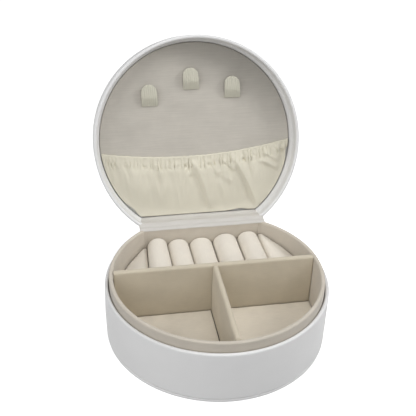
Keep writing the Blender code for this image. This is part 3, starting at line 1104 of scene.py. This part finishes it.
    def sheet(self) -> tuple[np.ndarray, np.ndarray]:
        """The cloth, from the flat back up over the hem and down behind it.

        Across, x runs between the panel's two edges. The cloth stands off the panel by
        a soft bulge that is pinned at its foot and sides, plus the gathers and folds. At
        the hem it turns over a small radius and runs down behind.

        Returns:
            The grid on the shut lid and its cloth coordinates.
        """
        sizes, own = self.sizes, self.own
        across = np.linspace(-1.0, 1.0, 421)[:, None]
        rise = np.linspace(0.0, 1.0, 93)[None, :]
        level = across * self.half_width(np.full_like(across, own.hem_height + 0.002))
        along = across * self.half_width(np.full_like(across, own.inset + own.foot))
        foot = own.inset + own.foot + shortfall(along, sizes.back - own.inset)
        hem = own.hem_height + own.hem_sag * (level - own.hem_lowest) ** 2
        hem = hem + 0.00010 * ripple(level, level * 0.0, 0.004, 70)
        height = foot + (hem - foot) * rise
        half = self.half_width(height)
        x = across * half
        x = x - np.sign(across) * np.abs(across) ** 12 * shortfall(x, sizes.back - height)
        below = np.maximum(hem - height, 0.0)
        side = (1.0 - np.abs(across)) * half
        pinned = smooth(side / 0.016) * smooth(rise / 0.55)
        bulge = own.least_stand + (own.stand - own.least_stand) * pinned
        ease = smooth((rise - 0.70) / 0.28)
        bulge = bulge * (1.0 - ease) + own.hem_stand * ease
        soft = 0.00032 * ripple(x, height * 0.45, 0.013, 76) + 0.00010 * ripple(x, height * 0.8, 0.005, 79)
        soft = soft * pinned * (1.0 - ease)
        drape = self.long_folds(x, height) * smooth(rise / 0.1) * smooth(side / 0.003)
        off = bulge + soft + drape + self.gathers(x, below) * smooth(side / 0.0015)
        turn = np.linspace(0.0, math.pi, 10)[None, 1:]
        radius = own.hem_radius
        top_height = hem + radius * np.sin(turn)
        top_off = off[:, -1:] - radius + radius * np.cos(turn)
        back_share = np.linspace(0.0, 1.0, 12)[None, 1:]
        back_height = hem - own.casing * 0.8 * back_share
        back_off = top_off[:, -1:] + 0.0 * back_share
        heights = np.hstack([height, top_height, back_height])
        offs = np.maximum(np.hstack([off, top_off, back_off]), own.clearance)
        top_x = np.broadcast_to(x[:, -1:], top_height.shape)
        xs = np.hstack([x, top_x, across * self.half_width(back_height)])
        grid = np.dstack([xs, sizes.back - heights, sizes.lining_face - offs])
        return grid, np.dstack([xs * own.fullness, heights])


@dataclass
class TabSizes:
    """A necklace tab's sizes, in metres.

    A blend end is how far it lies from the root towards the hinge, and out of the panel. The ends are
    worked out, but the strap is not blended between them.
    """

    width: float = 0.0093
    length: float = 0.0119
    bend: float = 0.0048
    proud: float = 0.0029
    tip: float = 0.0029
    thickness: float = 0.00075
    rib: float = 0.00118
    rib_depth: float = 0.00007
    soft: float = 0.00040
    skew: float = 0.047
    round_off: float = 0.0046
    tuck: float = 0.0005
    blend_ends: tuple[tuple[float, float], ...] = ((0.0002, 0.0004), (-0.0021, 0.0018))


class NecklaceTabs(Assembly):
    """Three ribbed straps that hook a chain each."""

    own = TabSizes()

    def build(self) -> None:
        """Builds the straps."""
        for name in ("left", "middle", "right"):
            self.tab(name)

    def tab(self, name: str) -> None:
        """A strap that comes out of the panel, bends upwards and runs level to its rounded tip.

        Along the strap the distance off the panel is the soft least of two straight
        lines, one that leaves the panel and one that runs to the tip. The width narrows
        a little and then closes on a half ellipse. Ribs run along it as a cosine across
        its width.
        """
        own, sizes = self.own, self.sizes
        axis = np.array(joint(f"tab_{name}_fold")["pos_m"], float)
        shut = sizes.opened(axis, -1.0)
        root_height = sizes.back - shut[1]
        along = np.linspace(0.0, 1.0, 90)[None, :]
        across = np.linspace(-1.0, 1.0, 129)[:, None]
        reach = along * own.length
        dome = np.clip((reach - (own.length - own.round_off)) / own.round_off, 0.0, 1.0)
        taper = 1.0 - 0.05 * along
        half = own.width / 2 * taper * np.sqrt(np.maximum(1.0 - dome**2.4, 0.0016))
        x = across * half
        leaving = 0.0002 + own.proud * reach / own.bend
        level = own.proud - (own.proud - own.tip) * (reach - own.bend) / (own.length - own.bend)
        off = -own.soft * np.log(np.exp(-leaving / own.soft) + np.exp(-level / own.soft))
        off = off - 0.0005 * across**2 * smooth(reach / own.bend)
        ribs = own.rib_depth * np.cos(math.tau * x / own.rib)
        off = off + ribs * smooth((own.length - reach) / 0.001)
        height = root_height - own.tuck + reach
        face = sizes.lining_face
        grid = np.dstack([
            axis[0] + x - own.skew * (reach - own.bend),
            sizes.back - height * np.ones_like(across),
            face - np.maximum(off, -0.0002),
        ])
        uv = np.dstack([x * np.ones_like(along), reach * np.ones_like(across)])
        piece = self.lid_surface(f"necklace_tab_{name}", grid, uv, closed=False)
        thicken(piece, own.thickness)
        self.dress(piece, Finish.RIBBON, None, f"tab_{name}", f"tab_root_{name}")
        ends = np.array([[0.0, sizes.back - root_height + down, face - out]
                         for down, out in own.blend_ends])
        start, end = sizes.opened(ends)
        start[0] = end[0] = axis[0]
        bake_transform(piece)


class Hinge(Assembly):
    """The leather that joins the lid to the base."""

    thickness: float = 0.0006
    wrinkle: float = 0.00008
    fold_width: float = 0.0032

    def build(self) -> None:
        """Builds the outer strip and the inner one."""
        self.outer()
        self.inner()

    def strip(self, name: str, path: np.ndarray, half: float, thickness: float,
              finish: Finish) -> bpy.types.Object:
        """A leather strip: a path in the (y, z) plane carried along the hinge, slightly wrinkled.

        Args:
            name: The strip's name.
            path: Points (y, z) across the strip, at rest.
            half: Half the strip's length.
            thickness: The leather's thickness.
            finish: Its finish.

        Returns:
            The strip, with its thickness.
        """
        x = np.linspace(-half, half, 201)[:, None]
        grid = np.zeros((201, len(path), 3))
        grid[..., 0] = x
        grid[..., 1] = path[:, 0]
        grid[..., 2] = path[:, 1]
        climb = walk(path)
        uv = np.dstack(np.broadcast_arrays(x, climb))
        grid[..., 2] += self.wrinkle * ripple(uv[..., 0], climb * 3.0 + 0.0 * x, 0.012, 55)
        piece = surface(name, grid, uv, closed=False)
        thicken(piece, thickness)
        return self.dress(piece, finish, None)

    def outer(self) -> None:
        """The strip on the back. Shut it is flat, and open it turns round the fold by the lid's angle."""
        sizes = self.sizes
        low = float(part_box("hinge_leaf_base")[0][2])
        fold = sizes.pivot[2]
        height = np.linspace(low, 2 * fold - low, 61)
        share = smooth((height - fold + self.fold_width / 2) / self.fold_width)
        behind = sizes.back + sizes.gap + self.thickness / 2
        shut = np.column_stack([np.zeros(61), np.full(61, behind), height])
        path = sizes.opened(shut, share)[:, 1:]
        half = float(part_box("hinge_leaf_base")[1][0])
        piece = self.strip("hinge_leather_outer", path, half, self.thickness, Finish.LEATHER)
        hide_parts("hinge_leaf_base", "hinge_leaf_lid")
        start, end = sizes.opened(shut[[24, 36]], share[[24, 36]])
        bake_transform(piece)

    def inner(self) -> None:
        """The strip inside, from the collar's top edge across to the lid's inner wall."""
        sizes = self.sizes
        thin = self.thickness / 2
        top = sizes.collar_top + 0.0001 + thin / 2
        inside = sizes.back - sizes.inside
        depth = np.linspace(0.0008, 0.0102, 14)
        face = sizes.back - 0.00022 - sizes.lid_inside(depth)
        wall = np.column_stack([0.0 * depth, face, sizes.rim + depth])
        lid_side = sizes.opened(wall)[:, 1:]
        rim = sizes.opened(np.array([[0.0, sizes.back - 0.0016, sizes.rim - 0.00036]]))[:, 1:]
        knots = np.vstack([
            [inside - 0.0001, top - 0.0008], [inside + 0.0003, top], [inside + 0.0012, top + 0.0001],
            [inside + 0.0021, top + 0.0001], (rim + [[inside + 0.0021, top]]) / 2 - [[0.0, 0.0002]],
            rim, lid_side,
        ])
        walked = walk(knots)
        even = np.linspace(0.0, walked[-1], 61)
        path = np.column_stack([np.interp(even, walked, part) for part in knots.T])
        for _ in range(10):
            path[1:-1] = (path[:-2] + 2 * path[1:-1] + path[2:]) / 4
        half = float(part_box("hinge_strip")[1][0]) - 0.0002
        piece = self.strip("hinge_leather_inner", path, half, thin, Finish.HINGE)
        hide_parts("hinge_strip")
        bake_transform(piece)


# ---------------------------------------------------------------- the set


@dataclass
class Studio:
    """Camera, lamps and floor."""

    azimuth: float = -10.05
    elevation: float = 31.91
    roll: float = 1.21
    distance: float = 0.4518
    target: Triple = (-0.0002, 0.0600, 0.0369)
    lens: float = 65.13
    shift: tuple[float, float] = (0.0235, 0.0058)
    surround: float = 0.30
    glow: float = 0.62
    lamps: tuple[tuple[str, Triple, float, float], ...] = (
        ("overhead", (0.04, -0.02, 0.75), 0.35, 0.98),
        ("right", (0.50, -0.06, 0.48), 0.25, 1.60),
        ("left", (-0.50, -0.19, 0.42), 0.50, 1.48),
        ("front", (0.00, -0.62, 0.34), 0.50, 1.28),
    )

    def build(self) -> None:
        """Sets up the camera, the lamps, the world and the floor."""
        self.camera()
        for lamp in self.lamps:
            self.lamp(*lamp)
        self.world()
        self.floor()

    def camera(self) -> None:
        """A camera on a sphere about the target, rolled a little."""
        around, up = math.radians(self.azimuth), math.radians(self.elevation)
        back = Vector((math.sin(around) * math.cos(up), -math.cos(around) * math.cos(up), math.sin(up)))
        data = bpy.data.cameras.new("camera")
        data.lens = self.lens
        data.sensor_width = 36.0
        data.shift_x, data.shift_y = self.shift
        data.clip_start = 0.01
        camera = bpy.data.objects.new("camera", data)
        turn = back.to_track_quat("Z", "Y").to_matrix().to_4x4()
        turn = turn @ Matrix.Rotation(math.radians(self.roll), 4, "Z")
        camera.matrix_world = Matrix.Translation(Vector(self.target) + back * self.distance) @ turn
        bpy.context.scene.collection.objects.link(camera)
        bpy.context.scene.camera = camera

    def lamp(self, name: str, place: Triple, size: float, power: float) -> None:
        """A square soft lamp that faces the case, of a side in metres and a power in watts."""
        data = bpy.data.lights.new(name, "AREA")
        data.size = size
        data.energy = power
        lamp = bpy.data.objects.new(name, data)
        facing = Vector(place) - Vector((0.0, 0.02, 0.04))
        turn = facing.to_track_quat("Z", "Y").to_matrix().to_4x4()
        lamp.matrix_world = Matrix.Translation(place) @ turn
        bpy.context.scene.collection.objects.link(lamp)

    def world(self) -> None:
        """An even white surround."""
        world = bpy.data.worlds.new("surround")
        world.use_nodes = True
        tree = world.node_tree
        path = tree.nodes.new("ShaderNodeLightPath")
        power = tree.nodes.new("ShaderNodeMapRange")
        power.inputs["To Min"].default_value = self.surround
        power.inputs["To Max"].default_value = 1.0
        tree.links.new(path.outputs["Is Camera Ray"], power.inputs["Value"])
        tree.links.new(power.outputs["Result"], tree.nodes["Background"].inputs["Strength"])
        tree.nodes["Background"].inputs["Color"].default_value = (1.0, 1.0, 1.0, 1.0)
        bpy.context.scene.world = world
        bpy.context.scene.view_settings.view_transform = "Standard"

    def floor(self) -> None:
        """A wide pale floor."""
        mesh = bpy.data.meshes.new("floor")
        corners = [(-3.0, -3.0, 0.0), (3.0, -3.0, 0.0), (3.0, 3.0, 0.0), (-3.0, 3.0, 0.0)]
        mesh.from_pydata(corners, [], [(0, 1, 2, 3)])
        floor = bpy.data.objects.new("floor", mesh)
        bpy.context.scene.collection.objects.link(floor)
        recipe = Recipe("pale_floor")
        mottle = recipe.noise(recipe.coordinates("Object", 9.0), 2.0)
        colour = recipe.blend(mottle, (0.93, 0.93, 0.93, 1.0), (0.96, 0.96, 0.96, 1.0))
        floor.visible_diffuse = False
        normal = recipe.bump(mottle, 0.0001, 0.1)
        mesh.materials.append(recipe.finish(colour, 0.9, normal, Emission_Color=(1.0, 1.0, 1.0, 1.0),
                                            Emission_Strength=self.glow))


def finishes() -> dict[Finish, bpy.types.Material]:
    """The material of each finish."""
    made = {
        Finish.LEATHER: Leather(),
        Finish.HINGE: Leather("hinge_leather_finish", (0.60, 0.58, 0.55), grain=0.0006),
        Finish.VELVET: Nap("beige_velvet_finish", (0.58, 0.53, 0.455), sheen=0.35),
        # The beige velvet painted lighter: painted light standing in for the stronger light that falls into
        # the compartments from above.
        Finish.FLOOR_PAINTED_LIGHT: Nap("floor_velvet_painted_light_finish", (0.82, 0.76, 0.655), streak=(220.0, 1500.0)),
        # The beige velvet painted browner: painted shade standing in for the shade on the dividers' faces.
        Finish.DIVIDER_PAINTED_SHADE: Nap("divider_velvet_painted_shade_finish", (0.585, 0.525, 0.415)),
        Finish.ROLL: Nap("cream_velvet_finish", (0.785, 0.735, 0.65), streak=(1400.0, 260.0),
                         contrast=0.035),
        # The suede carries painted shade from the lid's rim towards its top and right.
        Finish.SUEDE: Nap("grey_suede_finish", (0.54, 0.51, 0.457), streak=(55.0, 1700.0),
                          patchy=0.7, contrast=0.08, painted_rim_shade=0.40),
        Finish.SATIN: Weave("cream_satin_finish", (0.71, 0.675, 0.56)),
        Finish.RIBBON: Weave("cream_ribbon_finish", (0.585, 0.568, 0.475), thread=0.00031),
        Finish.BOARD: Board("grey_board_finish", (0.30, 0.28, 0.25)),
        Finish.FOAM: Board("white_foam_finish", (0.75, 0.75, 0.72), speck=0.0005),
    }
    return {finish: recipe.build() for finish, recipe in made.items()}


def dress_hidden_nodes(made: dict[Finish, bpy.types.Material]) -> None:
    """Gives the boards and the foam inside the walls their own finishes."""
    hidden = {Finish.BOARD: ("bottom_board", "floor_board", "lid_board"), Finish.FOAM: ("lid_foam",)}
    for finish, nodes in hidden.items():
        for node in nodes:
            materials = frame["nodes"][node].data.materials
            materials.clear()
            materials.append(made[finish])


def main() -> None:
    """Builds every sub-assembly and the set."""
    logging.basicConfig(level=logging.INFO, format="%(name)s: %(message)s")
    sizes = CaseSizes()
    made = finishes()
    Studio().build()
    for assembly in (Base, Dividers, RingRolls, Lid, Pouch, NecklaceTabs, Hinge):
        log.info("building %s", assembly.__name__)
        assembly(sizes, made).build()
    dress_hidden_nodes(made)


if __name__ == "__main__":
    main()
